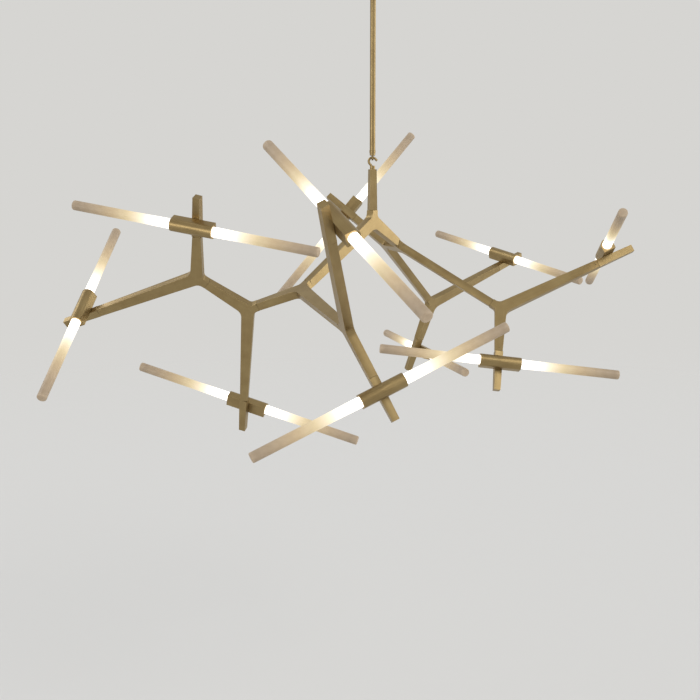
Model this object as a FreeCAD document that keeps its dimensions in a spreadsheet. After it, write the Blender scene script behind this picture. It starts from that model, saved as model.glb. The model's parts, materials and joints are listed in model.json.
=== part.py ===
import FreeCAD, Part
import math
import os
import Sketcher

# Pendant light: a vertical rod ends in an eye, and a hook in it carries a tree of nine
# equal Y modules.
# Each free arm ends in a tapered finger, and each finger carries a D-section holder
# with two frosted glass tubes, one to each side. Every seam is a swivel about the arm,
# and every holder turns on its finger. The origin is the middle of the ceiling face,
# +Z is up, +X is right and +Y points away from the viewer. Lengths in mm, angles in degrees.

SIZES = [
    # ceiling plate, canopy and rod
    ("plate_radius", 56.0),
    ("plate_thickness", 4.0),
    ("bolt_circle_radius", 44.45),
    ("bolt_hole_radius", 2.9),
    ("bolt_count", 4),
    ("hub_radius", 14.0),
    ("hub_length", 18.0),
    ("canopy_radius", 63.5),
    ("canopy_height", 42.0),
    ("canopy_wall", 1.6),
    ("canopy_shoulder", 7.0),
    ("canopy_hole_gap", 0.4),
    ("collar_radius", 12.0),
    ("collar_length", 15.0),
    ("collar_edge", 1.5),
    ("rod_radius", 7.8),
    ("rod_bore_radius", 4.6),
    ("rod_length", 486.0),
    ("ferrule_wall", 0.9),
    ("ferrule_length", 8.0),
    # eye at the rod's end, and the hook that hangs in it
    ("shank_length", 6.5),
    ("shank_edge", 1.2),
    ("stud_gap", 0.2),
    ("stud_length", 18.0),
    ("eye_drop", 5.3),
    ("eye_radius", 7.8),
    ("eye_thickness", 5.0),
    ("eye_gap", 0.7),
    ("hook_loop_radius", 10.2),
    ("hook_wire_radius", 3.3),
    ("hook_tip_angle", 45.0),
    ("hook_tip_length", 8.0),
    ("hook_foot", 5.4),
    ("hook_leg_depth", 3.7),
    ("hook_collar_radius", 7.0),
    ("hook_collar_length", 9.9),
    ("hook_shank_radius", 3.2),
    ("hook_shank_length", 16.0),
    # Y module
    ("stub_length", 31.0),
    ("medium_length", 128.0),
    ("long_length", 310.0),
    ("branch_angle", 120.0),
    ("arm_thickness", 22.0),
    ("arm_root_width", 34.0),
    ("arm_end_width", 22.0),
    ("stub_medium_round", 12.0),
    ("stub_long_round", 20.0),
    ("medium_long_round", 26.0),
    ("wire_bore_radius", 4.2),
    # swivel: spigot in a socket, with a face gap at the seam
    ("spigot_radius", 6.5),
    ("spigot_length", 18.0),
    ("spigot_neck_start", 7.0),
    ("spigot_neck_width", 5.0),
    ("spigot_neck_depth", 1.0),
    ("swivel_clearance", 0.05),
    ("socket_end_gap", 0.5),
    ("seam_gap", 0.3),
    # finger
    ("finger_length", 112.5),
    ("finger_tip_width", 18.0),
    ("finger_tip_thickness", 19.5),
    ("stem_tip_width", 17.0),
    ("stem_bore_length", 60.0),
    ("pivot_distance", 38.0),
    ("pivot_hole_depth", 15.0),
    # holder
    ("holder_half_length", 57.5),
    ("holder_round_radius", 17.5),
    ("holder_back_depth", 17.2),
    ("holder_seat_gap", 0.3),
    ("holder_web", 16.0),
    ("pivot_radius", 6.0),
    ("pivot_length", 6.5),
    ("pivot_bore_radius", 3.5),
    # glass tubes and lamps
    ("glass_radius", 12.7),
    ("glass_wall", 1.8),
    ("glass_length", 308.0),
    ("glass_end_wall", 2.6),
    ("glass_end_round", 5.0),
    ("glass_bore_gap", 0.3),
    ("glass_insertion", 27.5),
    ("lampholder_radius", 10.2),
    ("lampholder_length", 19.0),
    ("lamp_radius", 8.0),
    ("lamp_length", 72.0),
    ("lamp_end_round", 7.0),
    # clearances and overruns
    ("press_gap", 0.05),
    ("seat_gap", 0.2),
    ("overrun", 1.0),
    # the way the fixture is set: swivels of the modules about their arms
    ("turn_1", 50.2),
    ("turn_2", -19.0),
    ("turn_3", -6.6),
    ("turn_4", -99.4),
    ("turn_5", 11.6),
    ("turn_6", 5.0),
    ("turn_7", 4.4),
    ("turn_8", -175.1),
    ("turn_9", -88.2),
    # fingers about their arms
    ("finger_turn_1", -13.0),
    ("finger_turn_2", 84.0),
    ("finger_turn_3", -167.8),
    ("finger_turn_4", -90.5),
    ("finger_turn_5", -177.6),
    ("finger_turn_6", -85.6),
    ("finger_turn_7", -8.5),
    ("finger_turn_8", -66.0),
    ("finger_turn_9", -95.8),
    ("finger_turn_10", -85.5),
    # holders about their pivots
    ("holder_turn_1", 4.6),
    ("holder_turn_2", -3.7),
    ("holder_turn_3", 4.6),
    ("holder_turn_4", -0.3),
    ("holder_turn_5", -6.6),
    ("holder_turn_6", -5.0),
    ("holder_turn_7", 0.2),
    ("holder_turn_8", -9.0),
    ("holder_turn_9", 0.6),
    ("holder_turn_10", -4.8),
    ("stem_turn", 18.0),
]

# Sizes worked out from the ones above, as formulas of the sheet.
DERIVED = [
    ("hub_bottom", "=plate_thickness + hub_length"),
    ("hub_bore_radius", "=rod_radius + press_gap"),
    ("canopy_inner_radius", "=canopy_radius - canopy_wall"),
    ("canopy_inner_height", "=canopy_height - canopy_wall"),
    ("canopy_flat_radius", "=canopy_radius - canopy_shoulder"),
    ("canopy_side_height", "=canopy_height - canopy_shoulder"),
    ("canopy_hole_radius", "=rod_radius + canopy_hole_gap"),
    ("collar_top", "=canopy_height + seat_gap"),
    ("collar_bottom", "=collar_top + collar_length"),
    ("collar_edge_top", "=collar_bottom - collar_edge"),
    ("collar_edge_radius", "=collar_radius - collar_edge"),
    ("collar_bore_radius", "=rod_radius + press_gap"),
    ("rod_top", "=plate_thickness + seat_gap"),
    ("rod_bottom", "=rod_top + rod_length"),
    ("ferrule_top", "=rod_bottom - ferrule_length"),
    ("ferrule_bore_radius", "=rod_radius + press_gap"),
    ("ferrule_radius", "=rod_radius + ferrule_wall"),
    ("shank_top", "=rod_bottom + seat_gap"),
    ("shank_bottom", "=shank_top + shank_length"),
    ("shank_edge_top", "=shank_bottom - shank_edge"),
    ("shank_edge_radius", "=rod_radius - shank_edge"),
    ("stud_top", "=shank_top - stud_length"),
    ("stud_radius", "=rod_bore_radius - stud_gap"),
    ("eye_centre", "=shank_bottom + eye_drop"),
    ("eye_hole_radius", "=hook_wire_radius + eye_gap"),
    ("hook_tip_start", "=hook_loop_radius * cos(hook_tip_angle)"),
    ("hook_leg_drop", "=hook_loop_radius + hook_foot"),
    ("hook_leg_start", "=hook_loop_radius + hook_leg_drop"),
    ("hook_collar_top", "=hook_leg_start - hook_leg_depth"),
    ("hook_shoulder", "=hook_collar_top + hook_collar_length"),
    ("hook_shank_bottom", "=hook_shoulder + hook_shank_length"),
    ("hook_shank_bore_radius", "=hook_shank_radius + press_gap"),
    ("stem_tip", "=eye_centre + hook_shoulder"),
    ("seam_drop", "=stem_tip + finger_length"),
    ("arm_root_half", "=arm_root_width / 2"),
    ("arm_end_half", "=arm_end_width / 2"),
    ("arm_thickness_half", "=arm_thickness / 2"),
    ("branch_half_angle", "=branch_angle / 2"),
    ("stub_end", "=stub_length - seam_gap"),
    ("socket_radius", "=spigot_radius + swivel_clearance"),
    ("socket_depth", "=spigot_length + socket_end_gap"),
    ("medium_socket_floor", "=medium_length - socket_depth"),
    ("medium_overrun", "=medium_length + overrun"),
    ("long_socket_floor", "=long_length - socket_depth"),
    ("long_overrun", "=long_length + overrun"),
    ("spigot_neck_radius", "=spigot_radius - spigot_neck_depth"),
    ("spigot_neck_end", "=spigot_neck_start + spigot_neck_width"),
    ("spigot_overrun", "=spigot_length + overrun"),
    ("spigot_bed", "=seam_gap + overrun"),
    ("finger_tip_half", "=finger_tip_width / 2"),
    ("finger_tip_thickness_half", "=finger_tip_thickness / 2"),
    ("stem_tip_half", "=stem_tip_width / 2"),
    ("pivot_hole_radius", "=pivot_radius + swivel_clearance"),
    ("hook_bore_floor", "=finger_length - hook_shank_length - seat_gap"),
    ("stem_overrun", "=finger_length + overrun"),
    ("holder_seat", "=arm_thickness_half + holder_seat_gap"),
    ("tube_axis", "=holder_seat + holder_back_depth"),
    ("holder_length", "=holder_half_length * 2"),
    ("pivot_end", "=holder_seat - pivot_length"),
    ("pivot_mouth", "=pivot_end - overrun"),
    ("pivot_bed", "=holder_seat + overrun"),
    ("web_half", "=holder_web / 2"),
    ("web_bore_length", "=holder_web + 2 * overrun"),
    ("holder_overrun", "=holder_half_length + overrun"),
    ("glass_bore_radius", "=glass_radius + glass_bore_gap"),
    ("glass_start", "=holder_half_length - glass_insertion"),
    ("glass_shoulder", "=glass_start - seat_gap"),
    ("glass_inner_radius", "=glass_radius - glass_wall"),
    ("glass_end", "=glass_start + glass_length"),
    ("glass_inner_end", "=glass_end - glass_end_wall"),
    ("lampholder_bore_radius", "=lampholder_radius + seat_gap"),
    ("lampholder_start", "=web_half + seat_gap"),
    ("lampholder_end", "=lampholder_start + lampholder_length"),
    ("lamp_straight_end", "=lampholder_end + lamp_length"),
]

MODULE_COUNT = 9
FINGER_COUNT = 10

# Each module hangs by its stub on an arm of its parent. Module 1 hangs on the stem.
MODULE_PARENTS = {
    2: (1, "medium"),
    3: (1, "long"),
    4: (2, "medium"),
    5: (2, "long"),
    6: (4, "long"),
    7: (3, "medium"),
    8: (3, "long"),
    9: (7, "medium"),
}

# The free arms, each with a finger.
FINGER_PARENTS = {
    1: (9, "medium"),
    2: (9, "long"),
    3: (7, "long"),
    4: (8, "medium"),
    5: (8, "long"),
    6: (4, "medium"),
    7: (5, "medium"),
    8: (6, "medium"),
    9: (6, "long"),
    10: (5, "long"),
}

doc = FreeCAD.newDocument("PendantLight")
sheet = doc.addObject("Spreadsheet::Sheet", "Sizes")
for row, (alias, amount) in enumerate(SIZES + DERIVED, start=1):
    sheet.set("A%d" % row, alias)
    sheet.set("B%d" % row, str(amount))
    sheet.setAlias("B%d" % row, alias)
doc.recompute()


def size(name):
    """The number in a cell; a leading minus turns its sign, and "0" is zero."""
    if name == "0":
        return 0.0
    if name.startswith("-"):
        return -size(name[1:])
    return float(sheet.get(name))


def formula(name):
    """The expression that binds a property to a cell."""
    if name.startswith("-"):
        return "-<<Sizes>>.%s" % name[1:]
    return "<<Sizes>>.%s" % name


def vector(x_name, y_name, z_name="0"):
    return FreeCAD.Vector(size(x_name), size(y_name), size(z_name))


def turned(axis, angle, base=FreeCAD.Vector()):
    return FreeCAD.Placement(base, FreeCAD.Rotation(axis, angle))


X = FreeCAD.Vector(1, 0, 0)
Y = FreeCAD.Vector(0, 1, 0)
Z = FreeCAD.Vector(0, 0, 1)
RIGHT_ANGLE = 90.0
HALF_TURN = 180.0
FULL_TURN = 360.0

parts = []


def new_body(label, listed=True):
    body = doc.addObject("PartDesign::Body", label)
    body.Label = label
    if listed:
        parts.append(body)
    return body


def new_sketch(body, role, offset=None, bindings=()):
    """A sketch on one of the body's own origin planes, moved within it by offset."""
    sketch = body.newObject("Sketcher::SketchObject", "Sketch")
    plane = [item for item in body.Origin.OriginFeatures if item.Role == role][0]
    sketch.AttachmentSupport = [(plane, "")]
    sketch.MapMode = "FlatFace"
    if offset is not None:
        sketch.AttachmentOffset = offset
    for path, name in bindings:
        sketch.setExpression(".AttachmentOffset." + path, formula(name))
    return sketch


def tie_number(sketch, constraint, name):
    """Adds a dimension to the sketch and binds it to a cell."""
    sketch.setExpression("Constraints[%d]" % sketch.addConstraint(constraint), formula(name))


def place_point(sketch, geometry, end, x_name, y_name):
    """Ties a point of the sketch to two cells, or to an axis where the name is 0."""
    if x_name == "0":
        sketch.addConstraint(Sketcher.Constraint("PointOnObject", geometry, end, -2))
    else:
        across = Sketcher.Constraint("DistanceX", -1, 1, geometry, end, size(x_name))
        tie_number(sketch, across, x_name)
    if y_name == "0":
        sketch.addConstraint(Sketcher.Constraint("PointOnObject", geometry, end, -1))
    else:
        upwards = Sketcher.Constraint("DistanceY", -1, 1, geometry, end, size(y_name))
        tie_number(sketch, upwards, y_name)


def draw_outline(sketch, corners):
    """A closed outline of straight lines through corners named by cells."""
    count = len(corners)
    for index, corner in enumerate(corners):
        following = corners[(index + 1) % count]
        sketch.addGeometry(Part.LineSegment(vector(*corner), vector(*following)), False)
    for index, corner in enumerate(corners):
        sketch.addConstraint(Sketcher.Constraint("Coincident", index, 2, (index + 1) % count, 1))
        place_point(sketch, index, 1, *corner)


def draw_circle(sketch, radius_name, centre=("0", "0")):
    circle = sketch.addGeometry(Part.Circle(vector(*centre), Z, size(radius_name)), False)
    tie_number(sketch, Sketcher.Constraint("Radius", circle, size(radius_name)), radius_name)
    place_point(sketch, circle, 3, *centre)


def add_pad(body, sketch, length_name, midplane=False, backwards=False):
    pad = body.newObject("PartDesign::Pad", "Pad")
    pad.Profile = sketch
    pad.Midplane = midplane
    pad.Reversed = backwards
    pad.setExpression("Length", formula(length_name))
    return pad


def add_pocket(body, sketch, length_name, midplane=False, backwards=False):
    pocket = body.newObject("PartDesign::Pocket", "Pocket")
    pocket.Profile = sketch
    pocket.Midplane = midplane
    pocket.Reversed = backwards
    pocket.setExpression("Length", formula(length_name))
    return pocket


def add_turned(body, kind, corners, axis, role="XZ_Plane", offset=None, bindings=()):
    """A full revolution (or groove) of an outline about one axis of its own sketch."""
    sketch = new_sketch(body, role, offset, bindings)
    draw_outline(sketch, corners)
    feature = body.newObject("PartDesign::" + kind, kind)
    feature.Profile = sketch
    feature.ReferenceAxis = (sketch, [axis])
    feature.Angle = FULL_TURN
    return feature


def make_ceiling_plate():
    """Round steel plate with a hub for the rod and a circle of screw holes."""
    body = new_body("ceiling_plate")
    add_turned(body, "Revolution", [
        ("rod_bore_radius", "0"),
        ("plate_radius", "0"),
        ("plate_radius", "-plate_thickness"),
        ("hub_radius", "-plate_thickness"),
        ("hub_radius", "-hub_bottom"),
        ("hub_bore_radius", "-hub_bottom"),
        ("hub_bore_radius", "-plate_thickness"),
        ("rod_bore_radius", "-plate_thickness"),
    ], "V_Axis")
    sketch = new_sketch(body, "XY_Plane")
    draw_circle(sketch, "bolt_hole_radius", ("bolt_circle_radius", "0"))
    pocket = add_pocket(body, sketch, "plate_thickness")
    pattern = body.newObject("PartDesign::PolarPattern", "Pattern")
    pattern.Originals = [pocket]
    pattern.Axis = (sketch, ["N_Axis"])
    pattern.Angle = FULL_TURN
    pattern.Occurrences = int(size("bolt_count"))
    body.Tip = pattern


def make_canopy():
    """Spun cup that hides the plate, open to the ceiling."""
    body = new_body("canopy")
    add_turned(body, "Revolution", [
        ("canopy_hole_radius", "-canopy_height"),
        ("canopy_flat_radius", "-canopy_height"),
        ("canopy_radius", "-canopy_side_height"),
        ("canopy_radius", "0"),
        ("canopy_inner_radius", "0"),
        ("canopy_inner_radius", "-canopy_side_height"),
        ("canopy_flat_radius", "-canopy_inner_height"),
        ("canopy_hole_radius", "-canopy_inner_height"),
    ], "V_Axis")


def make_canopy_collar():
    """Turned collar clamped on the rod under the canopy."""
    body = new_body("canopy_collar")
    add_turned(body, "Revolution", [
        ("collar_bore_radius", "-collar_top"),
        ("collar_radius", "-collar_top"),
        ("collar_radius", "-collar_edge_top"),
        ("collar_edge_radius", "-collar_bottom"),
        ("collar_bore_radius", "-collar_bottom"),
    ], "V_Axis")


def make_rod():
    body = new_body("rod")
    add_turned(body, "Revolution", [
        ("rod_bore_radius", "-rod_top"),
        ("rod_radius", "-rod_top"),
        ("rod_radius", "-rod_bottom"),
        ("rod_bore_radius", "-rod_bottom"),
    ], "V_Axis")


def make_rod_ferrule():
    body = new_body("rod_ferrule")
    add_turned(body, "Revolution", [
        ("ferrule_bore_radius", "-ferrule_top"),
        ("ferrule_radius", "-ferrule_top"),
        ("ferrule_radius", "-rod_bottom"),
        ("ferrule_bore_radius", "-rod_bottom"),
    ], "V_Axis")


def make_rod_eye():
    """Shank screwed into the rod, flattened below into an eye with a hole along X."""
    body = new_body("rod_eye")
    add_turned(body, "Revolution", [
        ("0", "-stud_top"),
        ("stud_radius", "-stud_top"),
        ("stud_radius", "-shank_top"),
        ("rod_radius", "-shank_top"),
        ("rod_radius", "-shank_edge_top"),
        ("shank_edge_radius", "-shank_bottom"),
        ("0", "-shank_bottom"),
    ], "V_Axis")
    neck = new_sketch(body, "YZ_Plane")
    draw_outline(neck, [
        ("-shank_edge_radius", "-shank_edge_top"),
        ("-eye_radius", "-eye_centre"),
        ("eye_radius", "-eye_centre"),
        ("shank_edge_radius", "-shank_edge_top"),
    ])
    add_pad(body, neck, "eye_thickness", midplane=True)
    disc = new_sketch(body, "YZ_Plane")
    draw_circle(disc, "eye_radius", ("0", "-eye_centre"))
    add_pad(body, disc, "eye_thickness", midplane=True)
    hole = new_sketch(body, "YZ_Plane")
    draw_circle(hole, "eye_hole_radius", ("0", "-eye_centre"))
    add_pocket(body, hole, "eye_thickness", midplane=True)


def loop_point(angle):
    """A point of the hook's loop, in its sketch, at an angle from +X towards +Z."""
    way = FreeCAD.Vector(math.cos(angle), math.sin(angle))
    return vector("0", "-hook_loop_radius") + way * size("hook_loop_radius")


def make_stem_hook():
    """Hook of round wire on a screwed collar. Its origin is in the eye's middle.

    The leg rises to the loop's left, and the loop runs over the eye's rim and ends in
    a straight tip that points down to the right.
    """
    body = new_body("stem_hook")
    add_turned(body, "Revolution", [
        ("0", "-hook_collar_top"),
        ("hook_collar_radius", "-hook_collar_top"),
        ("hook_collar_radius", "-hook_shoulder"),
        ("hook_shank_radius", "-hook_shoulder"),
        ("hook_shank_radius", "-hook_shank_bottom"),
        ("0", "-hook_shank_bottom"),
    ], "V_Axis")
    centre = vector("0", "-hook_loop_radius")
    circle = Part.Circle(centre, Z, size("hook_loop_radius"))
    lean = math.asin(size("hook_loop_radius") / size("hook_leg_drop"))
    left = math.radians(HALF_TURN) + lean
    right = math.radians(size("hook_tip_angle"))
    top = math.radians(RIGHT_ANGLE)
    leg_start = vector("0", "-hook_leg_start")
    outwards = FreeCAD.Vector(math.sin(right), -math.cos(right))
    tip = loop_point(right) + outwards * size("hook_tip_length")
    path = new_sketch(body, "XZ_Plane")
    path.addGeometry(Part.LineSegment(leg_start, loop_point(left)), False)
    path.addGeometry(Part.ArcOfCircle(circle, top, left), False)
    path.addGeometry(Part.ArcOfCircle(circle, right, top), False)
    path.addGeometry(Part.LineSegment(loop_point(right), tip), False)
    path.addConstraint(Sketcher.Constraint("Tangent", 0, 2, 1, 2))
    path.addConstraint(Sketcher.Constraint("Coincident", 1, 1, 2, 2))
    path.addConstraint(Sketcher.Constraint("Coincident", 1, 3, 2, 3))
    path.addConstraint(Sketcher.Constraint("Tangent", 2, 1, 3, 1))
    path.addConstraint(Sketcher.Constraint("PointOnObject", 1, 1, -2))
    place_point(path, 0, 1, "0", "-hook_leg_start")
    place_point(path, 1, 3, "0", "-hook_loop_radius")
    loop = Sketcher.Constraint("Radius", 1, size("hook_loop_radius"))
    tie_number(path, loop, "hook_loop_radius")
    across = Sketcher.Constraint("DistanceX", -1, 1, 2, 1, size("hook_tip_start"))
    tie_number(path, across, "hook_tip_start")
    reach = Sketcher.Constraint("Distance", 3, size("hook_tip_length"))
    tie_number(path, reach, "hook_tip_length")
    profile = new_sketch(body, "YZ_Plane")
    draw_circle(profile, "hook_wire_radius")
    pipe = body.newObject("PartDesign::AdditivePipe", "Loop")
    pipe.Profile = profile
    pipe.Spine = (path, ["Edge1", "Edge2", "Edge3", "Edge4"])
    return body


def bar_sketch(body, angle, length_name, root_name):
    """Outline of one bar of a module, drawn along its own axis from the centre."""
    offset = turned(Z, angle, vector("0", "-stub_length"))
    sketch = new_sketch(body, "XZ_Plane", offset, [("Base.y", "-stub_length")])
    draw_outline(sketch, [
        ("0", "-" + root_name),
        (length_name, "-arm_end_half"),
        (length_name, "arm_end_half"),
        ("0", root_name),
    ])
    return sketch


def round_crotch(body, facing, radius_name):
    """Rounds the inner corner where two bars meet, the one on the side of an angle."""
    doc.recompute()
    blend = body.Tip
    centre = vector("0", "0", "-stub_length")
    angle = math.radians(facing)
    way = FreeCAD.Vector(math.cos(angle), 0, math.sin(angle))
    sector = math.radians(size("branch_half_angle"))
    names = []
    for index, edge in enumerate(blend.Shape.Edges, start=1):
        corner = edge.CenterOfMass - centre
        crosswise = edge.BoundBox.YLength > size("arm_thickness_half")
        near = corner.Length < size("arm_root_width")
        at_seam = edge.CenterOfMass.z > -size("spigot_bed")
        if crosswise and near and not at_seam and corner.getAngle(way) < sector:
            names.append("Edge%d" % index)
    fillet = body.newObject("PartDesign::Fillet", "Crotch")
    fillet.Base = (blend, names)
    fillet.setExpression("Radius", formula(radius_name))
    body.Tip = fillet


def arm_angle(arm):
    """Direction of an arm in the module's plane, from +X towards +Z."""
    if arm == "medium":
        return RIGHT_ANGLE - size("branch_angle")
    return RIGHT_ANGLE + size("branch_angle")


def add_arm_bore(body, arm):
    """Wire bore from the centre, opening into a round socket at the arm's end."""
    offset = turned(Z, arm_angle(arm), vector("0", "-stub_length"))
    add_turned(body, "Groove", [
        ("0", "0"),
        (arm + "_overrun", "0"),
        (arm + "_overrun", "socket_radius"),
        (arm + "_socket_floor", "socket_radius"),
        (arm + "_socket_floor", "wire_bore_radius"),
        ("0", "wire_bore_radius"),
    ], "H_Axis", offset=offset, bindings=[("Base.y", "-stub_length")])


def add_spigot(body, role, angle, bore_end_name):
    """Necked, bored spigot past the seam, which is at the body's origin."""
    offset = turned(Z, angle)
    add_turned(body, "Revolution", [
        ("-spigot_bed", "0"),
        ("spigot_length", "0"),
        ("spigot_length", "spigot_radius"),
        ("spigot_neck_end", "spigot_radius"),
        ("spigot_neck_end", "spigot_neck_radius"),
        ("spigot_neck_start", "spigot_neck_radius"),
        ("spigot_neck_start", "spigot_radius"),
        ("-spigot_bed", "spigot_radius"),
    ], "H_Axis", role, offset)
    add_turned(body, "Groove", [
        (bore_end_name, "0"),
        ("spigot_overrun", "0"),
        ("spigot_overrun", "wire_bore_radius"),
        (bore_end_name, "wire_bore_radius"),
    ], "H_Axis", role, offset)


def make_module(number):
    """Flat Y of one thickness: a short stub, a medium arm and a long arm."""
    body = new_body("y_module_%d" % number)
    for angle, length_name, root_name in (
        (RIGHT_ANGLE, "stub_end", "arm_end_half"),
        (arm_angle("medium"), "medium_length", "arm_root_half"),
        (arm_angle("long"), "long_length", "arm_root_half"),
    ):
        sketch = bar_sketch(body, angle, length_name, root_name)
        add_pad(body, sketch, "arm_thickness", midplane=True)
    half = size("branch_half_angle")
    round_crotch(body, RIGHT_ANGLE - half, "stub_medium_round")
    round_crotch(body, RIGHT_ANGLE + half, "stub_long_round")
    round_crotch(body, RIGHT_ANGLE + HALF_TURN, "medium_long_round")
    add_spigot(body, "XZ_Plane", RIGHT_ANGLE, "-stub_length")
    add_arm_bore(body, "medium")
    add_arm_bore(body, "long")
    return body


def cross_section(body, distance_name, width_name, thickness_name):
    """A rectangle square to +X at a distance along it."""
    offset = turned(Z, 0, vector("0", "0", distance_name))
    bindings = [] if distance_name == "0" else [("Base.z", distance_name)]
    sketch = new_sketch(body, "YZ_Plane", offset, bindings)
    draw_outline(sketch, [
        ("-" + width_name, "-" + thickness_name),
        (width_name, "-" + thickness_name),
        (width_name, thickness_name),
        ("-" + width_name, thickness_name),
    ])
    return sketch


def add_taper(body, start_name, tip_width_name):
    """The tapered bar of a finger, from the seam to its tip."""
    loft = body.newObject("PartDesign::AdditiveLoft", "Taper")
    loft.Profile = cross_section(body, start_name, "arm_end_half", "arm_thickness_half")
    tip = cross_section(body, "finger_length", tip_width_name, "finger_tip_thickness_half")
    loft.Sections = [tip]
    loft.Ruled = True


def make_stem():
    """Upright finger with a socket below, for the first module, and a bore for the hook."""
    body = new_body("stem")
    add_taper(body, "0", "stem_tip_half")
    add_turned(body, "Groove", [
        ("-overrun", "0"),
        ("stem_bore_length", "0"),
        ("stem_bore_length", "wire_bore_radius"),
        ("socket_depth", "wire_bore_radius"),
        ("socket_depth", "socket_radius"),
        ("-overrun", "socket_radius"),
    ], "H_Axis", "XY_Plane")
    add_turned(body, "Groove", [
        ("hook_bore_floor", "0"),
        ("stem_overrun", "0"),
        ("stem_overrun", "hook_shank_bore_radius"),
        ("hook_bore_floor", "hook_shank_bore_radius"),
    ], "H_Axis", "XY_Plane")
    return body


def make_finger(number):
    """Tapered finger with its spigot at the seam and a cross hole for the pivot."""
    body = new_body("finger_%d" % number)
    add_taper(body, "seam_gap", "finger_tip_half")
    add_spigot(body, "XY_Plane", HALF_TURN, "-pivot_distance")
    offset = turned(Z, 0, vector("0", "0", "arm_thickness_half"))
    sketch = new_sketch(body, "XY_Plane", offset, [("Base.z", "arm_thickness_half")])
    draw_circle(sketch, "pivot_hole_radius", ("pivot_distance", "0"))
    add_pocket(body, sketch, "pivot_hole_depth")
    return body


def draw_holder_section(sketch):
    """Half round towards the tube's far side, straight sides and a flat back."""
    radius = size("holder_round_radius")
    middle = vector("0", "tube_axis")
    left = vector("-holder_round_radius", "holder_seat")
    right = vector("holder_round_radius", "holder_seat")
    side = vector("holder_round_radius", "0")
    sketch.addGeometry(Part.ArcOfCircle(Part.Circle(middle, Z, radius), 0, math.pi), False)
    sketch.addGeometry(Part.LineSegment(middle - side, left), False)
    sketch.addGeometry(Part.LineSegment(left, right), False)
    sketch.addGeometry(Part.LineSegment(right, middle + side), False)
    for index in range(sketch.GeometryCount):
        following = (index + 1) % sketch.GeometryCount
        sketch.addConstraint(Sketcher.Constraint("Coincident", index, 2, following, 1))
    place_point(sketch, 0, 3, "0", "tube_axis")
    tie_number(sketch, Sketcher.Constraint("Radius", 0, radius), "holder_round_radius")
    sketch.addConstraint(Sketcher.Constraint("Horizontal", 0, 3, 0, 1))
    sketch.addConstraint(Sketcher.Constraint("Horizontal", 0, 3, 0, 2))
    sketch.addConstraint(Sketcher.Constraint("Vertical", 1))
    sketch.addConstraint(Sketcher.Constraint("Vertical", 3))
    sketch.addConstraint(Sketcher.Constraint("Horizontal", 2))
    back = Sketcher.Constraint("DistanceY", -1, 1, 2, 1, size("holder_seat"))
    tie_number(sketch, back, "holder_seat")


def make_holder(number):
    """D-section block with a bore for a tube in each end and a hollow pivot behind."""
    body = new_body("holder_%d" % number)
    section = new_sketch(body, "YZ_Plane")
    draw_holder_section(section)
    add_pad(body, section, "holder_length", midplane=True)
    for angle in (0, HALF_TURN):
        add_turned(body, "Groove", [
            ("web_half", "0"),
            ("holder_overrun", "0"),
            ("holder_overrun", "glass_bore_radius"),
            ("glass_shoulder", "glass_bore_radius"),
            ("glass_shoulder", "lampholder_bore_radius"),
            ("web_half", "lampholder_bore_radius"),
        ], "H_Axis", offset=turned(Z, angle, vector("0", "tube_axis")),
            bindings=[("Base.y", "tube_axis")])
    web_bore = new_sketch(body, "YZ_Plane")
    draw_circle(web_bore, "pivot_bore_radius", ("0", "tube_axis"))
    add_pocket(body, web_bore, "web_bore_length", midplane=True)
    add_turned(body, "Revolution", [
        ("0", "pivot_end"),
        ("pivot_radius", "pivot_end"),
        ("pivot_radius", "pivot_bed"),
        ("0", "pivot_bed"),
    ], "V_Axis")
    add_turned(body, "Groove", [
        ("0", "pivot_mouth"),
        ("pivot_bore_radius", "pivot_mouth"),
        ("pivot_bore_radius", "tube_axis"),
        ("0", "tube_axis"),
    ], "V_Axis")
    return body


def round_end(body, distance_name, radius_name, round_name):
    """Rounds the circular edge of the closed end of a tube."""
    doc.recompute()
    blend = body.Tip
    names = []
    for index, edge in enumerate(blend.Shape.Edges, start=1):
        middle = edge.BoundBox.Center
        at_end = abs(middle.x - size(distance_name)) < size("seat_gap")
        wide = edge.BoundBox.YLength > size(radius_name)
        if at_end and wide:
            names.append("Edge%d" % index)
    fillet = body.newObject("PartDesign::Fillet", "End")
    fillet.Base = (blend, names)
    fillet.setExpression("Radius", formula(round_name))
    body.Tip = fillet


def make_glass_tube():
    """One frosted tube, open in its holder and closed with a rounded end outside."""
    body = new_body("glass_tube", listed=False)
    offset = turned(Z, 0, vector("0", "tube_axis"))
    add_turned(body, "Revolution", [
        ("glass_start", "glass_inner_radius"),
        ("glass_inner_end", "glass_inner_radius"),
        ("glass_inner_end", "0"),
        ("glass_end", "0"),
        ("glass_end", "glass_radius"),
        ("glass_start", "glass_radius"),
    ], "H_Axis", offset=offset, bindings=[("Base.y", "tube_axis")])
    round_end(body, "glass_end", "glass_radius", "glass_end_round")
    return body


def make_lamp():
    """Lampholder against the holder's web, with a round-ended lamp in it."""
    body = new_body("single_lamp", listed=False)
    offset = turned(Z, 0, vector("0", "tube_axis"))
    add_turned(body, "Revolution", [
        ("lampholder_start", "0"),
        ("lamp_straight_end", "0"),
        ("lamp_straight_end", "lamp_radius"),
        ("lampholder_end", "lamp_radius"),
        ("lampholder_end", "lampholder_radius"),
        ("lampholder_start", "lampholder_radius"),
    ], "H_Axis", offset=offset, bindings=[("Base.y", "tube_axis")])
    round_end(body, "lamp_straight_end", "lamp_radius", "lamp_end_round")
    return body


def make_mirror(source):
    """The same piece on the other side of the holder."""
    mirror = doc.addObject("Part::Mirroring", source.Name + "_left")
    mirror.Source = source
    mirror.Normal = X
    return mirror


def make_pair(label, pieces):
    pair = doc.addObject("Part::Compound", label)
    pair.Label = label
    pair.Links = pieces
    parts.append(pair)
    return pair


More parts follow.
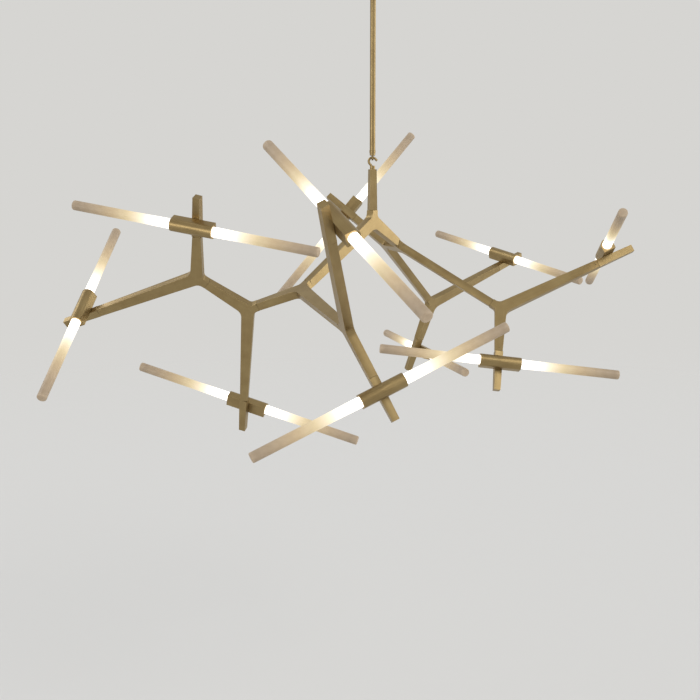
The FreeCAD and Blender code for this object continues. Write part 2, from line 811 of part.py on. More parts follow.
def arm_tip(arm):
    """Seat at an arm's end, in the module's frame: +X runs on outwards, +Z is its flat."""
    angle = math.radians(arm_angle(arm))
    outwards = FreeCAD.Vector(math.cos(angle), 0, math.sin(angle))
    base = vector("0", "0", "-stub_length") + outwards * size(arm + "_length")
    rotation = FreeCAD.Rotation(outwards, Y.cross(outwards), Y, "XZY")
    return FreeCAD.Placement(base, rotation)


def upright(turn_name, drop_name):
    """A place on the rod's axis, turned about it."""
    return turned(Z, size(turn_name), vector("0", "0", "-" + drop_name))


def place_modules(modules):
    """Hangs each module by its stub, turned about its parent's arm."""
    modules[1].Placement = upright("turn_1", "seam_drop")
    stub_first = FreeCAD.Placement(FreeCAD.Vector(), FreeCAD.Rotation(Z, Y, X.negative(), "ZXY"))
    for number, (parent, arm) in MODULE_PARENTS.items():
        seat = modules[parent].Placement * arm_tip(arm) * stub_first
        modules[number].Placement = seat * turned(Z, size("turn_%d" % number))


def place_lamps(modules, fingers, holders, glasses, lamps):
    """Turns each finger about its arm, and the pieces on it about the holder's pivot."""
    for number, (parent, arm) in FINGER_PARENTS.items():
        seat = modules[parent].Placement * arm_tip(arm)
        fingers[number].Placement = seat * turned(X, size("finger_turn_%d" % number))
        angle = size("holder_turn_%d" % number) - RIGHT_ANGLE
        pivot = fingers[number].Placement * turned(Z, angle, vector("pivot_distance", "0"))
        for piece in (holders[number], glasses[number], lamps[number]):
            piece.Placement = pivot


def print_joints(modules, fingers, holders):
    """The point and direction of every swivel and pivot."""
    for group, axis in ((modules, Z), (fingers, X), (holders, Z)):
        for body in group.values():
            base = body.Placement.Base
            way = body.Placement.Rotation.multVec(axis)
            print("joint", body.Label, *("%.6f" % number for number in (*base, *way)))


def export_parts():
    """Stops at any failed object or shape, then writes each sub-part under its name."""
    for item in doc.Objects:
        if "Invalid" in item.State or "Error" in item.State:
            raise RuntimeError("failed: " + item.Label)
    for item in parts:
        if item.Shape.isNull() or not item.Shape.isValid():
            raise RuntimeError("bad shape: " + item.Label)
    os.makedirs("parts", exist_ok=True)
    for item in parts:
        item.Shape.exportStep("parts/%s.step" % item.Label)
        print("part", item.Label, len(item.Shape.Solids), "%.1f" % item.Shape.Volume)


def main():
    make_ceiling_plate()
    make_canopy()
    make_canopy_collar()
    make_rod()
    make_rod_ferrule()
    make_rod_eye()
    hook = make_stem_hook()
    stem = make_stem()
    modules = {number: make_module(number) for number in range(1, MODULE_COUNT + 1)}
    numbers = range(1, FINGER_COUNT + 1)
    fingers = {number: make_finger(number) for number in numbers}
    holders = {number: make_holder(number) for number in numbers}
    tube = make_glass_tube()
    tubes = [tube, make_mirror(tube)]
    lamp = make_lamp()
    lamp_pieces = [lamp, make_mirror(lamp)]
    glasses = {number: make_pair("glass_%d" % number, tubes) for number in numbers}
    lamps = {number: make_pair("lamp_%d" % number, lamp_pieces) for number in numbers}
    hook.Placement = FreeCAD.Placement(vector("0", "0", "-eye_centre"), FreeCAD.Rotation())
    tip_up = FreeCAD.Placement(FreeCAD.Vector(), FreeCAD.Rotation(Z, Y, X.negative(), "XZY"))
    stem.Placement = upright("stem_turn", "seam_drop") * tip_up
    place_modules(modules)
    place_lamps(modules, fingers, holders, glasses, lamps)
    doc.recompute()
    print_joints(modules, fingers, holders)
    export_parts()


main()
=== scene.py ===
import json
import math

import bmesh
import bpy
from mathutils import Matrix, Vector

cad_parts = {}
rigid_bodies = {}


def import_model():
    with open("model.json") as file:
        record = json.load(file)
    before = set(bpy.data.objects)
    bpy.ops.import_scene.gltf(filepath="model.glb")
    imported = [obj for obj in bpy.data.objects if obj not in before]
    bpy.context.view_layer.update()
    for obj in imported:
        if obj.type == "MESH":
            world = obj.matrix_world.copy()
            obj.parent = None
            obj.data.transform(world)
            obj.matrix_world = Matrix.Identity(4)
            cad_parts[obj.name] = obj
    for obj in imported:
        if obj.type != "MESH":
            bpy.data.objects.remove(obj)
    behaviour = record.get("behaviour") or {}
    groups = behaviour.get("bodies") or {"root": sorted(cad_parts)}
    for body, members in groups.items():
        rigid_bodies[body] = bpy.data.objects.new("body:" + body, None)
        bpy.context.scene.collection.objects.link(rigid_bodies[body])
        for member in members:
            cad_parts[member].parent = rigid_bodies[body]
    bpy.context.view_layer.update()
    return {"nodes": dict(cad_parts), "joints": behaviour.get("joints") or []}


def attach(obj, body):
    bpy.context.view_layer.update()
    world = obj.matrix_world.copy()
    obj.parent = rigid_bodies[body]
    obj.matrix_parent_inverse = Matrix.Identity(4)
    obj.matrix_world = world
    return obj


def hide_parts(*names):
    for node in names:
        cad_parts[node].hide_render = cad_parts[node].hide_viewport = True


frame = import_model()

MM = 0.001
SOURCE = frame["nodes"]
JOINTS = {j["name"]: j for j in frame["joints"]}

# How many there are of each. The joints say which piece carries which.
MODULES = 9
LIGHTS = 10

# Sizes that the looks share with the solids, in mm and degrees.
STUB = 31.0
MEDIUM = 128.0
LONG = 310.0
ARM_HALF = 11.0
BRANCH_ANGLE = 120.0
TUBE_RISE = 28.5
HOLDER_HALF = 57.5
TUBE_RADIUS = 12.7
TUBE_WALL = 1.8
TUBE_LENGTH = 308.0
TUBE_IN = 27.5
TUBE_END_WALL = 2.6
LAMPHOLDER_START = 8.2
LAMPHOLDER_END = 27.2
LAMPHOLDER_RADIUS = 10.2
LAMP_RADIUS = 8.0
LAMP_LENGTH = 72.0
LAMP_ROUND = 7.0

# Sizes of the looks alone, in mm.
TUBE_END_ROUND = 3.4
TUBE_TIP_INSIDE = 1.0
TUBE_LIP = 0.6
TUBE_RING_STEP = 12
LAMPHOLDER_EDGE = 0.4
LAMPHOLDER_MARGIN = 0.01  # so that its end face counts as part of it
GROOVE_START = 6.0
GROOVE_END = 7.0
GROOVE_DEPTH = 0.5
SCREW_FROM_SEAM = 9.5
SCREWS_BEHIND = (7, 9)  # modules that show no screw from the front

# The screw's end as (height above the flat, radius), from its rim to the middle of its socket.
SCREW_PROFILE = [
    (0.0, 2.2), (0.05, 2.2), (0.05, 1.9), (0.16, 1.8), (0.16, 1.1), (0.08, 1.0), (0.08, 0.0),
]
SOCKET_RADIUS = 0.9

# How far the edges of each piece are eased, in mm.
ARM_EASING = 0.8
HOLDER_EASING = 0.7
CANOPY_EASING = 0.5
COLLAR_EASING = 0.4
ROD_EASING = 0.3
FERRULE_EASING = 0.15
EASING_STEPS = 2

# Mesh cleaning: the weld in metres, then angles in degrees.
WELD = 0.000005
FLAT_WITHIN = 0.6
EASED_ABOVE = 28.0
SHARP_ABOVE = 38.0
TURNED_SHARP_ABOVE = 40.0

# How finely round pieces are drawn.
TUBE_SIDES = 56
LAMP_SIDES = 32
SCREW_SIDES = 24
TUBE_END_STEPS = 8
TUBE_INNER_STEPS = 5
LAMP_END_STEPS = 7

ON_AXIS = 1e-6  # the radius in mm below which a turned point lies on its axis
LONG_AXIS_ROUNDS = 8  # how often the direction of a long piece is corrected
ARM_LEAN = math.radians(BRANCH_ANGLE - 90.0)  # how far an arm leans from square to the stub


def joint_point(name):
    return Vector(JOINTS[name]["pos_m"])


def joint_axis(name):
    return Vector(JOINTS[name]["axis"]).normalized()


def frame_matrix(origin, x, z):
    """A local frame's matrix: +Z along z, and +X as near x as +Z allows."""
    z = z.normalized()
    x = (x - z * x.dot(z)).normalized()
    y = z.cross(x)
    return Matrix.Translation(origin) @ Matrix((x, y, z)).transposed().to_4x4()


def module_frame(number):
    """+Z out of the stub, +X in the plane of the Y, towards its medium arm."""
    body = "module_%d" % number
    origin, z = joint_point(body + "_swivel"), joint_axis(body + "_swivel")
    centre = origin - z * STUB * MM
    ends = [Vector(j["pos_m"]) - centre for j in frame["joints"] if j["parent"] == body]
    return frame_matrix(origin, min(ends, key=lambda v: v.length), z)


def finger_frame(number):
    """+X along the finger, +Z towards the holder."""
    swivel = "finger_%d_swivel" % number
    pivot = "light_%d_pivot" % number
    return frame_matrix(joint_point(swivel), joint_axis(swivel), joint_axis(pivot))


def long_axis(node, across):
    """The direction in which a node is longest, at right angles to across."""
    points = [v.co for v in SOURCE[node].data.vertices]
    middle = sum(points, Vector()) / len(points)
    far = max(points, key=lambda p: (p - middle).length)
    line = far - middle
    line -= across * line.dot(across)
    side = line.normalized()
    for _ in range(LONG_AXIS_ROUNDS):
        total = Vector()
        for p in points:
            d = p - middle
            total += side.dot(d) * d
        total -= across * total.dot(across)
        side = total.normalized()
    return side


def light_frame(number):
    """Origin at the pivot, +X along the tubes, +Z towards the holder."""
    pivot = "light_%d_pivot" % number
    out = joint_axis(pivot)
    side = long_axis("glass_%d" % number, out)
    return frame_matrix(joint_point(pivot), side, out)


class Nodes:
    """Short calls for a material's node tree."""

    def __init__(self, name):
        self.material = bpy.data.materials.new(name)
        self.material.use_nodes = True
        self.tree = self.material.node_tree
        self.tree.nodes.clear()
        self.output = self.tree.nodes.new("ShaderNodeOutputMaterial")

    def add(self, kind, inputs=None, **settings):
        node = self.tree.nodes.new("ShaderNode" + kind)
        for key, value in settings.items():
            setattr(node, key, value)
        for key, value in (inputs or {}).items():
            self.set(node.inputs[key], value)
        return node

    def set(self, socket, value):
        if isinstance(value, bpy.types.NodeSocket):
            self.tree.links.new(value, socket)
        elif isinstance(value, bpy.types.Node):
            self.tree.links.new(value.outputs[0], socket)
        else:
            socket.default_value = value

    def math(self, operation, a, b=0.0, c=0.0):
        node = self.add("Math", operation=operation)
        self.set(node.inputs[0], a)
        self.set(node.inputs[1], b)
        self.set(node.inputs[2], c)
        return node.outputs[0]

    def vector(self, operation, a, b=None):
        node = self.add("VectorMath", operation=operation)
        self.set(node.inputs[0], a)
        if b is not None:
            self.set(node.inputs[1], b)
        return node.outputs["Value" if operation in ("DOT_PRODUCT", "LENGTH") else "Vector"]

    def combine(self, x, y, z):
        return self.add("CombineXYZ", {"X": x, "Y": y, "Z": z}).outputs[0]

    def noise(self, coordinate, scale, detail, roughness):
        return self.add("TexNoise", {
            "Vector": coordinate, "Scale": scale, "Detail": detail, "Roughness": roughness,
        }).outputs["Fac"]

    def span(self, value, source, target, **settings):
        """Carries value over from one range to another and keeps it in that range."""
        return self.add("MapRange", {
            "Value": value, "From Min": source[0], "From Max": source[1],
            "To Min": target[0], "To Max": target[1],
        }, **settings).outputs[0]

    def bump(self, height, strength, distance):
        return self.add("Bump", {
            "Strength": strength, "Distance": distance, "Height": height,
        }).outputs[0]

    def ramp(self, factor, stops, interpolation="LINEAR"):
        node = self.add("ValToRGB", {"Fac": factor})
        node.color_ramp.interpolation = interpolation
        elements = node.color_ramp.elements
        while len(elements) < len(stops):
            elements.new(0.5)
        for element, (place, colour) in zip(elements, stops):
            element.position = place
            element.color = (*colour, 1.0)
        return node.outputs["Color"]

    def principled(self, **inputs):
        names = {key.replace("_", " "): value for key, value in inputs.items()}
        shader = self.add("BsdfPrincipled", names)
        self.tree.links.new(shader.outputs[0], self.output.inputs["Surface"])
        return shader


def linear(*rgb):
    """The linear light of a colour given in 0 to 255, as it shows on a screen."""
    share = [c / 255.0 for c in rgb]
    return tuple(c / 12.92 if c <= 0.04045 else ((c + 0.055) / 1.055) ** 2.4 for c in share)


UNIT = (0.0, 1.0)

# Brushed metal. A scale has one value along the grain and two across it.
CHAMPAGNE = (linear(135, 115, 79), linear(148, 127, 88), linear(162, 142, 101))
CHAMPAGNE_STOPS = (0.3, 0.5, 0.75)
STREAK_SCALE = (14.0, 1400.0, 1400.0)
FINE_SCALE = (60.0, 5200.0, 5200.0)
FINE_SHARE = 0.4
CLOUD_SCALE = 22.0
CLOUD_SHARE = 0.5
PIECE_SHIFT = 7.0
# Convex edges are drawn lighter: partly rubbed wear, partly a painted highlight along the edges.
EDGE_WEAR_AND_HIGHLIGHT = (0.505, 0.56)
EDGE_WEAR_AND_HIGHLIGHT_TONE = (0.0, 0.10)
STREAK_SPAN = (0.3, 0.7)
METAL_ROUGHNESS = (0.34, 0.46)
METAL_BUMP = 0.06
METAL_BUMP_DEPTH = 0.00005
METAL_ANISOTROPY = 0.45
GRAIN_PER_RADIAN = 0.02


def metal(name, grain):
    """Satin brass, brushed along the grain that the function grain gives as a coordinate."""
    n = Nodes(name)
    place = n.add("TexCoord").outputs["Object"]
    shift = n.add("ObjectInfo").outputs["Random"]
    along = grain(n, place)
    moved = n.vector("ADD", along, n.combine(n.math("MULTIPLY", shift, PIECE_SHIFT), shift, shift))
    streaks = n.noise(n.vector("MULTIPLY", moved, STREAK_SCALE), 1.0, detail=4.0, roughness=0.6)
    fine = n.noise(n.vector("MULTIPLY", moved, FINE_SCALE), 1.0, detail=2.0, roughness=0.5)
    cloud = n.noise(moved, CLOUD_SCALE, detail=3.0, roughness=0.5)
    # Lighter along convex edges: rubbed wear and a painted edge highlight together.
    edge_wear_and_highlight = n.span(n.add("NewGeometry").outputs["Pointiness"], EDGE_WEAR_AND_HIGHLIGHT, EDGE_WEAR_AND_HIGHLIGHT_TONE)
    clouded = n.math("MULTIPLY_ADD", streaks, 1.0 - CLOUD_SHARE, n.math("MULTIPLY", cloud, CLOUD_SHARE))
    n.principled(
        Base_Color=n.ramp(n.math("ADD", clouded, edge_wear_and_highlight), list(zip(CHAMPAGNE_STOPS, CHAMPAGNE))),
        Metallic=1.0,
        Roughness=n.span(streaks, STREAK_SPAN, METAL_ROUGHNESS),
        Normal=n.bump(n.math("MULTIPLY_ADD", fine, FINE_SHARE, streaks), METAL_BUMP, METAL_BUMP_DEPTH),
        Anisotropic=METAL_ANISOTROPY,
    )
    return n.material


def straight_grain(n, place):
    """Straight pieces: the grain runs along the local X axis."""
    return place


def turned_grain(n, place):
    """Spun and turned pieces: the grain runs round the local X axis."""
    parts = n.add("SeparateXYZ", {"Vector": place}).outputs
    squares = n.math("ADD", n.math("POWER", parts["Y"], 2.0), n.math("POWER", parts["Z"], 2.0))
    angle = n.math("ARCTAN2", parts["Y"], parts["Z"])
    return n.combine(n.math("MULTIPLY", angle, GRAIN_PER_RADIAN), parts["X"], n.math("SQRT", squares))


def branching_grain(n, place):
    """Y modules: the grain follows each arm and meets in mitres at the middle."""
    stub = Vector((0, 0, 1))
    medium = Vector((math.cos(ARM_LEAN), 0, -math.sin(ARM_LEAN)))
    long_arm = Vector((-math.cos(ARM_LEAN), 0, -math.sin(ARM_LEAN)))
    flat = Vector((0, 1, 0))
    moved = n.vector("ADD", place, (0, 0, STUB * MM))
    shares = [n.vector("DOT_PRODUCT", moved, tuple(arm)) for arm in (stub, medium, long_arm)]
    sides = [
        n.vector("DOT_PRODUCT", moved, tuple(flat.cross(arm))) for arm in (stub, medium, long_arm)
    ]
    best, across = shares[0], sides[0]
    for share, side in zip(shares[1:], sides[1:]):
        wins = n.math("GREATER_THAN", share, best)
        across = n.add("Mix", {"Factor": wins, "A": across, "B": side}).outputs[0]
        best = n.math("MAXIMUM", best, share)
    return n.combine(best, across, n.vector("DOT_PRODUCT", moved, tuple(flat)))


# The glow along a tube, from the holder's mouth at 0 to the tip at 1: its colour and its strength.
GLOW_COLOURS = [
    (0.00, (1.0, 0.98, 0.94)), (0.20, (1.0, 0.96, 0.87)), (0.32, (1.0, 0.93, 0.70)),
    (0.44, (1.0, 0.87, 0.50)), (0.62, (1.0, 0.77, 0.38)), (1.00, (0.9, 0.72, 0.50)),
]
GLOW_STRENGTHS = [
    (0.0, 1.0), (0.12, 0.66), (0.22, 0.40), (0.32, 0.24), (0.42, 0.155),
    (0.55, 0.09), (0.70, 0.042), (0.85, 0.014), (0.97, 0.005), (1.0, 0.03),
]
GLOW_PEAK = 2.6
GLOW_WANDER = 0.02

# Frosted glass.
GLASS_MOTTLE_SCALE = 60.0
GLASS_FROST_SCALE = 2600.0
GLASS_ROUGHNESS = (0.42, 0.60)
GLASS_BUMP = 0.12
GLASS_CLEARNESS = 0.12
GLASS_REFRACTION = 1.46
GLASS_DARK = linear(168, 148, 123)
GLASS_PALE = linear(178, 159, 134)

# Plain finishes, and the mottling and bumps that all but the metal share.
MOTTLE_LOW = 0.3
MOTTLE_HIGH = 0.7
BUMP_DEPTH = 0.0001
PLAIN_BUMP = 0.08
PLAIN_ROUGHNESS_SPREAD = 0.06


def frosted_glass():
    """Frosted tube, lit from its lamp end: white at the holder, then cream, dusky at the tip."""
    n = Nodes("frosted_glass")
    place = n.add("TexCoord").outputs["Object"]
    x = n.add("SeparateXYZ", {"Vector": place}).outputs["X"]
    mottle = n.noise(place, GLASS_MOTTLE_SCALE, detail=2.0, roughness=0.5)
    wander = n.math("MULTIPLY_ADD", mottle, GLOW_WANDER, -GLOW_WANDER / 2.0)
    run = n.math("MULTIPLY_ADD", x, 1.0 / ((TUBE_LENGTH - TUBE_IN) * MM), wander)
    strength = n.add("FloatCurve", {"Value": run})
    curve = strength.mapping.curves[0]
    while len(curve.points) < len(GLOW_STRENGTHS):
        curve.points.new(0.5, 0.5)
    for point, place_and_strength in zip(curve.points, GLOW_STRENGTHS):
        point.location = place_and_strength
    strength.mapping.update()
    frost = n.noise(place, GLASS_FROST_SCALE, detail=2.0, roughness=0.6)
    n.principled(
        Base_Color=n.ramp(mottle, [(MOTTLE_LOW, GLASS_DARK), (MOTTLE_HIGH, GLASS_PALE)]),
        Roughness=n.span(frost, UNIT, GLASS_ROUGHNESS),
        Normal=n.bump(frost, GLASS_BUMP, BUMP_DEPTH),
        IOR=GLASS_REFRACTION,
        Transmission_Weight=GLASS_CLEARNESS,
        Emission_Color=n.ramp(run, GLOW_COLOURS, "EASE"),
        Emission_Strength=n.math("MULTIPLY", strength.outputs[0], GLOW_PEAK),
    )
    return n.material


def plain(name, low, high, roughness, metallic=0.0, emission=None, scale=90.0):
    """A slightly mottled finish between two colours; emission is a colour and its strength."""
    n = Nodes(name)
    place = n.add("TexCoord").outputs["Object"]
    mottle = n.noise(place, scale, detail=4.0, roughness=0.6)
    rough = (roughness - PLAIN_ROUGHNESS_SPREAD, roughness + PLAIN_ROUGHNESS_SPREAD)
    shader = n.principled(
        Base_Color=n.ramp(mottle, [(MOTTLE_LOW, low), (MOTTLE_HIGH, high)]),
        Metallic=metallic,
        Roughness=n.span(mottle, UNIT, rough),
        Normal=n.bump(mottle, PLAIN_BUMP, BUMP_DEPTH),
    )
    if emission:
        shader.inputs["Emission Color"].default_value = (*emission[0], 1.0)
        shader.inputs["Emission Strength"].default_value = emission[1]
    return n.material


LAMP_GLOW = ((1.0, 0.90, 0.76), 4.0)

BRUSHED = metal("brushed_metal", straight_grain)
TURNED = metal("turned_metal", turned_grain)
BRANCHED = metal("branched_metal", branching_grain)
GLASS = frosted_glass()
ZINC = plain("zinc_plate", linear(168, 170, 172), linear(190, 191, 190), 0.38, metallic=1.0)
CERAMIC = plain("lampholder_white", linear(226, 222, 214), linear(238, 235, 228), 0.42)
LAMP = plain("lit_lamp", linear(250, 240, 224), linear(255, 248, 236), 0.3, emission=LAMP_GLOW)
# The screw's socket is painted near-black. This is painted shade that stands in for the depth of its
# hole.
SOCKET_SHADE = plain("screw_socket_painted_shade", linear(22, 20, 18), linear(34, 31, 28), 0.7, scale=400.0)


def dressed(mesh, material, second=None, chosen=None):
    """Gives a mesh its material, and a second one to the faces whose middle chosen picks."""
    mesh.materials.append(material)
    if second:
        mesh.materials.append(second)
        for face in mesh.polygons:
            if chosen(face.center / MM):
                face.material_index = 1
    return mesh


def new_piece(name, mesh, matrix, body):
    piece = bpy.data.objects.new(name, mesh)
    bpy.context.scene.collection.objects.link(piece)
    piece.matrix_world = matrix
    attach(piece, body)
    return piece


def finished_mesh(bm, name, sharp_above):
    """Turns the drawing mesh bm into a smooth mesh with sharp edges above an angle."""
    for face in bm.faces:
        face.smooth = True
    mesh = bpy.data.meshes.new(name)
    bm.to_mesh(mesh)
    bm.free()
    mesh.set_sharp_from_angle(angle=math.radians(sharp_above))
    return mesh


def refined(node, matrix, easing):
    """A copy of a node's mesh in a local frame, with clean faces and its edges eased."""
    bm = bmesh.new()
    bm.from_mesh(SOURCE[node].data)
    bmesh.ops.transform(bm, matrix=matrix.inverted(), verts=bm.verts)
    bmesh.ops.remove_doubles(bm, verts=bm.verts, dist=WELD)
    bmesh.ops.dissolve_limit(
        bm, angle_limit=math.radians(FLAT_WITHIN), verts=bm.verts, edges=bm.edges,
    )
    limit = math.radians(EASED_ABOVE)
    edges = [e for e in bm.edges if e.is_manifold and e.calc_face_angle(0.0) > limit]
    bmesh.ops.bevel(
        bm, geom=edges, offset=easing * MM, offset_type="OFFSET", segments=EASING_STEPS,
        profile=0.5, affect="EDGES", clamp_overlap=True,
    )
    return finished_mesh(bm, node + "_looks", SHARP_ABOVE)


def carry_over(name, node, matrix, body, material, easing):
    """A metal node shown with eased edges, in its place."""
    mesh = dressed(refined(node, matrix, easing), material)
    piece = new_piece(name, mesh, matrix, body)
    weighted = piece.modifiers.new("even_faces", "WEIGHTED_NORMAL")
    weighted.keep_sharp = True
    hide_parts(node)


def lathe(profile, segments, close=False):
    """A mesh turned about local X from (x, radius) pairs in mm."""
    bm = bmesh.new()
    rings = []
    for x, radius in profile:
        if radius < ON_AXIS:
            rings.append([bm.verts.new((x * MM, 0, 0))])
            continue
        ring = []
        for i in range(segments):
            angle = 2 * math.pi * i / segments
            y, z = radius * MM * math.cos(angle), radius * MM * math.sin(angle)
            ring.append(bm.verts.new((x * MM, y, z)))
        rings.append(ring)
    pairs = list(zip(rings, rings[1:]))
    if close:
        pairs.append((rings[-1], rings[0]))
    for a, b in pairs:
        if len(a) == 1 and len(b) == 1:
            continue
        for i in range(segments):
            k = (i + 1) % segments
            if len(a) == 1:
                bm.faces.new((a[0], b[k], b[i]))
            elif len(b) == 1:
                bm.faces.new((a[i], a[k], b[0]))
            else:
                bm.faces.new((a[i], a[k], b[k], b[i]))
    bmesh.ops.recalc_face_normals(bm, faces=bm.faces)
    return finished_mesh(bm, "turned", TURNED_SHARP_ABOVE)


def arc(cx, cr, radius, start, end, steps):
    """Points (x, radius) on a round about (cx, cr); 0 degrees points outwards, 90 along +X."""
    return [
        (cx + radius * math.sin(math.radians(start + (end - start) * i / steps)),
         cr + radius * math.cos(math.radians(start + (end - start) * i / steps)))
        for i in range(steps + 1)
    ]


def tube_mesh():
    """One frosted tube: x runs from the holder's mouth to the closed tip."""
    start, tip = -TUBE_IN, TUBE_LENGTH - TUBE_IN - TUBE_TIP_INSIDE
    shoulder = tip - TUBE_END_ROUND
    outer = [(start, TUBE_RADIUS - TUBE_LIP), (start + TUBE_LIP, TUBE_RADIUS)]
    outer += [(x, TUBE_RADIUS) for x in range(0, int(shoulder), TUBE_RING_STEP)]
    outer += arc(shoulder, TUBE_RADIUS - TUBE_END_ROUND, TUBE_END_ROUND, 0, 90, TUBE_END_STEPS)
    outer.append((tip, 0.0))
    inner_round = TUBE_END_ROUND - TUBE_WALL
    inner_radius = TUBE_RADIUS - TUBE_WALL
    inner_tip = tip - TUBE_END_WALL
    inner = [(inner_tip, 0.0)]
    inner += arc(
        inner_tip - inner_round, inner_radius - inner_round, inner_round, 90, 0, TUBE_INNER_STEPS,
    )
    inner.append((start, inner_radius))
    return lathe(outer + inner, TUBE_SIDES, close=True)


def lamp_mesh():
    """A lampholder with a groove round it, and a round-ended lamp; x = 0 is the holder's middle."""
    start, end, radius = LAMPHOLDER_START, LAMPHOLDER_END, LAMPHOLDER_RADIUS
    groove = start + GROOVE_START
    groove_end = start + GROOVE_END
    tip = end + LAMP_LENGTH
    profile = [
        (start, 0.0), (start, radius - LAMPHOLDER_EDGE), (start + LAMPHOLDER_EDGE, radius),
        (groove, radius), (groove, radius - GROOVE_DEPTH),
        (groove_end, radius - GROOVE_DEPTH), (groove_end, radius),
        (end - LAMPHOLDER_EDGE, radius), (end, radius - LAMPHOLDER_EDGE), (end, LAMP_RADIUS),
    ]
    profile += arc(tip - LAMP_ROUND, LAMP_RADIUS - LAMP_ROUND, LAMP_ROUND, 0, 90, LAMP_END_STEPS)
    profile.append((tip, 0.0))
    return lathe(profile, LAMP_SIDES)


# Faces inside the screw's socket, which get the painted shade.
def in_socket_shade(point):
    return math.hypot(point.y, point.z) < SOCKET_RADIUS


def in_lampholder(point):
    return point.x < LAMPHOLDER_END + LAMPHOLDER_MARGIN


def add_screw(name, frame_in, place, body):
    """A set screw whose end lies in the flat at place, facing out on that side of the Y."""
    # The socket's faces get the near-black painted shade.
    mesh = dressed(lathe(SCREW_PROFILE, SCREW_SIDES), TURNED, SOCKET_SHADE, in_socket_shade)
    out = Matrix.Rotation(math.radians(math.copysign(90.0, place[1])), 4, "Z")
    matrix = frame_in @ Matrix.Translation(Vector(place) * MM) @ out
    new_piece(name, mesh, matrix, body)


def module_pieces():
    for i in range(1, MODULES + 1):
        place, body = module_frame(i), "module_%d" % i
        carry_over("y_body_%d" % i, "y_module_%d" % i, place, body, BRANCHED, ARM_EASING)
        flat = -ARM_HALF if i in SCREWS_BEHIND else ARM_HALF
        for arm, way, length in (("medium", 1.0, MEDIUM), ("long", -1.0, LONG)):
            reach = length - SCREW_FROM_SEAM
            x = way * math.cos(ARM_LEAN) * reach
            z = -STUB - math.sin(ARM_LEAN) * reach
            add_screw("screw_%s_%d" % (arm, i), place, (x, flat, z), body)


def light_pieces():
    tube = dressed(tube_mesh(), GLASS)
    lamp = dressed(lamp_mesh(), LAMP, CERAMIC, in_lampholder)
    for i in range(1, LIGHTS + 1):
        finger = "finger_%d" % i
        carry_over("finger_body_%d" % i, finger, finger_frame(i), finger, BRUSHED, ARM_EASING)
        place, body = light_frame(i), "light_%d" % i
        carry_over("holder_body_%d" % i, "holder_%d" % i, place, body, BRUSHED, HOLDER_EASING)
        for side, turn in (("a", 0.0), ("b", math.pi)):
            turned = place @ Matrix.Rotation(turn, 4, "Z")
            mouth = turned @ Matrix.Translation((HOLDER_HALF * MM, 0, TUBE_RISE * MM))
            middle = turned @ Matrix.Translation((0, 0, TUBE_RISE * MM))
            piece = new_piece("tube_%d_%s" % (i, side), tube, mouth, body)
            bulb = new_piece("bulb_%d_%s" % (i, side), lamp, middle, body)
            if side == "a":
                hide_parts("glass_%d" % i)
                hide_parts("lamp_%d" % i)


def top_pieces():
    down = Matrix.Rotation(math.radians(90.0), 4, "Y")
    for node, material, easing in (
        ("canopy", TURNED, CANOPY_EASING), ("canopy_collar", TURNED, COLLAR_EASING),
        ("rod", BRUSHED, ROD_EASING), ("rod_ferrule", TURNED, FERRULE_EASING),
        ("rod_eye", TURNED, ROD_EASING),
    ):
        carry_over(node + "_body", node, down, "ceiling_mount", material, easing)
    carry_over("stem_body", "stem", down, "stem", BRUSHED, ARM_EASING)
    carry_over("stem_hook_body", "stem_hook", down, "stem", TURNED, ROD_EASING)


def dress_nodes():
    """Every node gets its finish in its own slots."""
    for name, node in SOURCE.items():
        material = BRUSHED
        if name == "ceiling_plate":
            material = ZINC
        if name.startswith("lamp_"):
            material = LAMP
        if name.startswith("glass_"):
            material = GLASS
        for slot in node.material_slots:
            slot.material = material
        if not node.material_slots:
            node.data.materials.append(material)


# The surroundings, in metres.
PALE = linear(214, 213, 210)
FLOOR_Z = -2.35
FLOOR_RADIUS = 14.0
FLOOR_SIDES = 96
FLOOR_FADE = (3.0, 10.0)
SKY_COLOUR = (0.80, 0.81, 0.83, 1.0)
SKY_STRENGTH = 0.82

# The camera: lens and sensor in mm, place in metres, tilt in degrees from looking straight down.
LENS = 53.086
SENSOR_WIDTH = 36.0
CAMERA_PLACE = (-0.06243, -2.91456, -0.56138)
CAMERA_TILT = 80.605


def make_floor():
    """A pale disc that fades into the background at its rim."""
    bm = bmesh.new()
    bmesh.ops.create_circle(bm, cap_ends=True, segments=FLOOR_SIDES, radius=FLOOR_RADIUS)
    mesh = bpy.data.meshes.new("floor")
    bm.to_mesh(mesh)
    bm.free()
    floor = bpy.data.objects.new("floor", mesh)
    floor.location = (0, 0, FLOOR_Z)
    bpy.context.scene.collection.objects.link(floor)
    n = Nodes("pale_floor")
    away = n.vector("LENGTH", n.add("TexCoord").outputs["Object"])
    fade = n.span(away, FLOOR_FADE, UNIT, interpolation_type="SMOOTHSTEP")
    ground = n.add("BsdfDiffuse", {"Color": (*PALE, 1.0)})
    clear = n.add("BsdfTransparent")
    blend = n.add("MixShader", {0: fade, 1: ground, 2: clear})
    n.tree.links.new(blend.outputs[0], n.output.inputs["Surface"])
    mesh.materials.append(n.material)


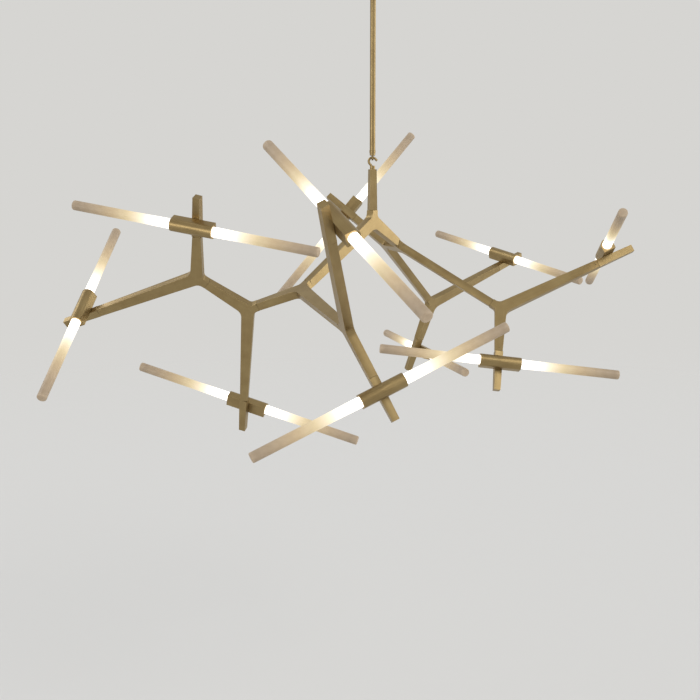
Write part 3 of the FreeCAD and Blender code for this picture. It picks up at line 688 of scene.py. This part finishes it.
def make_world():
    """A pale background that metal and glass mirror as it shows, and a sky light for the rest."""
    world = bpy.data.worlds.new("studio")
    bpy.context.scene.world = world
    world.use_nodes = True
    tree = world.node_tree
    tree.nodes.clear()
    output = tree.nodes.new("ShaderNodeOutputWorld")
    seen = tree.nodes.new("ShaderNodeBackground")
    seen.inputs["Color"].default_value = (*PALE, 1.0)
    light = tree.nodes.new("ShaderNodeBackground")
    light.inputs["Color"].default_value = SKY_COLOUR
    light.inputs["Strength"].default_value = SKY_STRENGTH
    ray = tree.nodes.new("ShaderNodeLightPath")
    shows = ray.outputs["Is Camera Ray"]
    for kind in ("Is Glossy Ray", "Is Transmission Ray"):
        either = tree.nodes.new("ShaderNodeMath")
        either.operation = "MAXIMUM"
        tree.links.new(shows, either.inputs[0])
        tree.links.new(ray.outputs[kind], either.inputs[1])
        shows = either.outputs[0]
    mix = tree.nodes.new("ShaderNodeMixShader")
    tree.links.new(shows, mix.inputs[0])
    tree.links.new(light.outputs[0], mix.inputs[1])
    tree.links.new(seen.outputs[0], mix.inputs[2])
    tree.links.new(mix.outputs[0], output.inputs["Surface"])


def soft_sun(name, source, power, spread, colour):
    """Even light from the direction source, spread over some degrees so that shadows are soft."""
    data = bpy.data.lights.new(name, "SUN")
    data.energy = power
    data.angle = math.radians(spread)
    data.color = colour
    lamp = bpy.data.objects.new(name, data)
    lamp.rotation_euler = (-Vector(source)).to_track_quat("-Z", "Y").to_euler()
    bpy.context.scene.collection.objects.link(lamp)


def make_lights():
    soft_sun("key", (1.5, -1.5, 1.7), 0.9, 28.0, (1.0, 0.985, 0.96))
    soft_sun("window", (0.98, 0.18, 0.06), 1.2, 50.0, (1.0, 0.985, 0.95))
    soft_sun("low_left", (-0.66, -0.75, 0.10), 0.6, 26.0, (1.0, 0.99, 0.96))
    soft_sun("rim", (-1.8, 0.8, 1.4), 0.6, 28.0, (0.97, 0.98, 1.0))


def make_camera():
    data = bpy.data.cameras.new("camera")
    data.sensor_width = SENSOR_WIDTH
    data.lens = LENS
    camera = bpy.data.objects.new("camera", data)
    camera.location = CAMERA_PLACE
    camera.rotation_euler = (math.radians(CAMERA_TILT), 0.0, 0.0)
    bpy.context.scene.collection.objects.link(camera)
    bpy.context.scene.camera = camera


make_camera()
dress_nodes()
module_pieces()
light_pieces()
top_pieces()
make_floor()
make_world()
make_lights()
bpy.context.scene.view_settings.view_transform = "Standard"
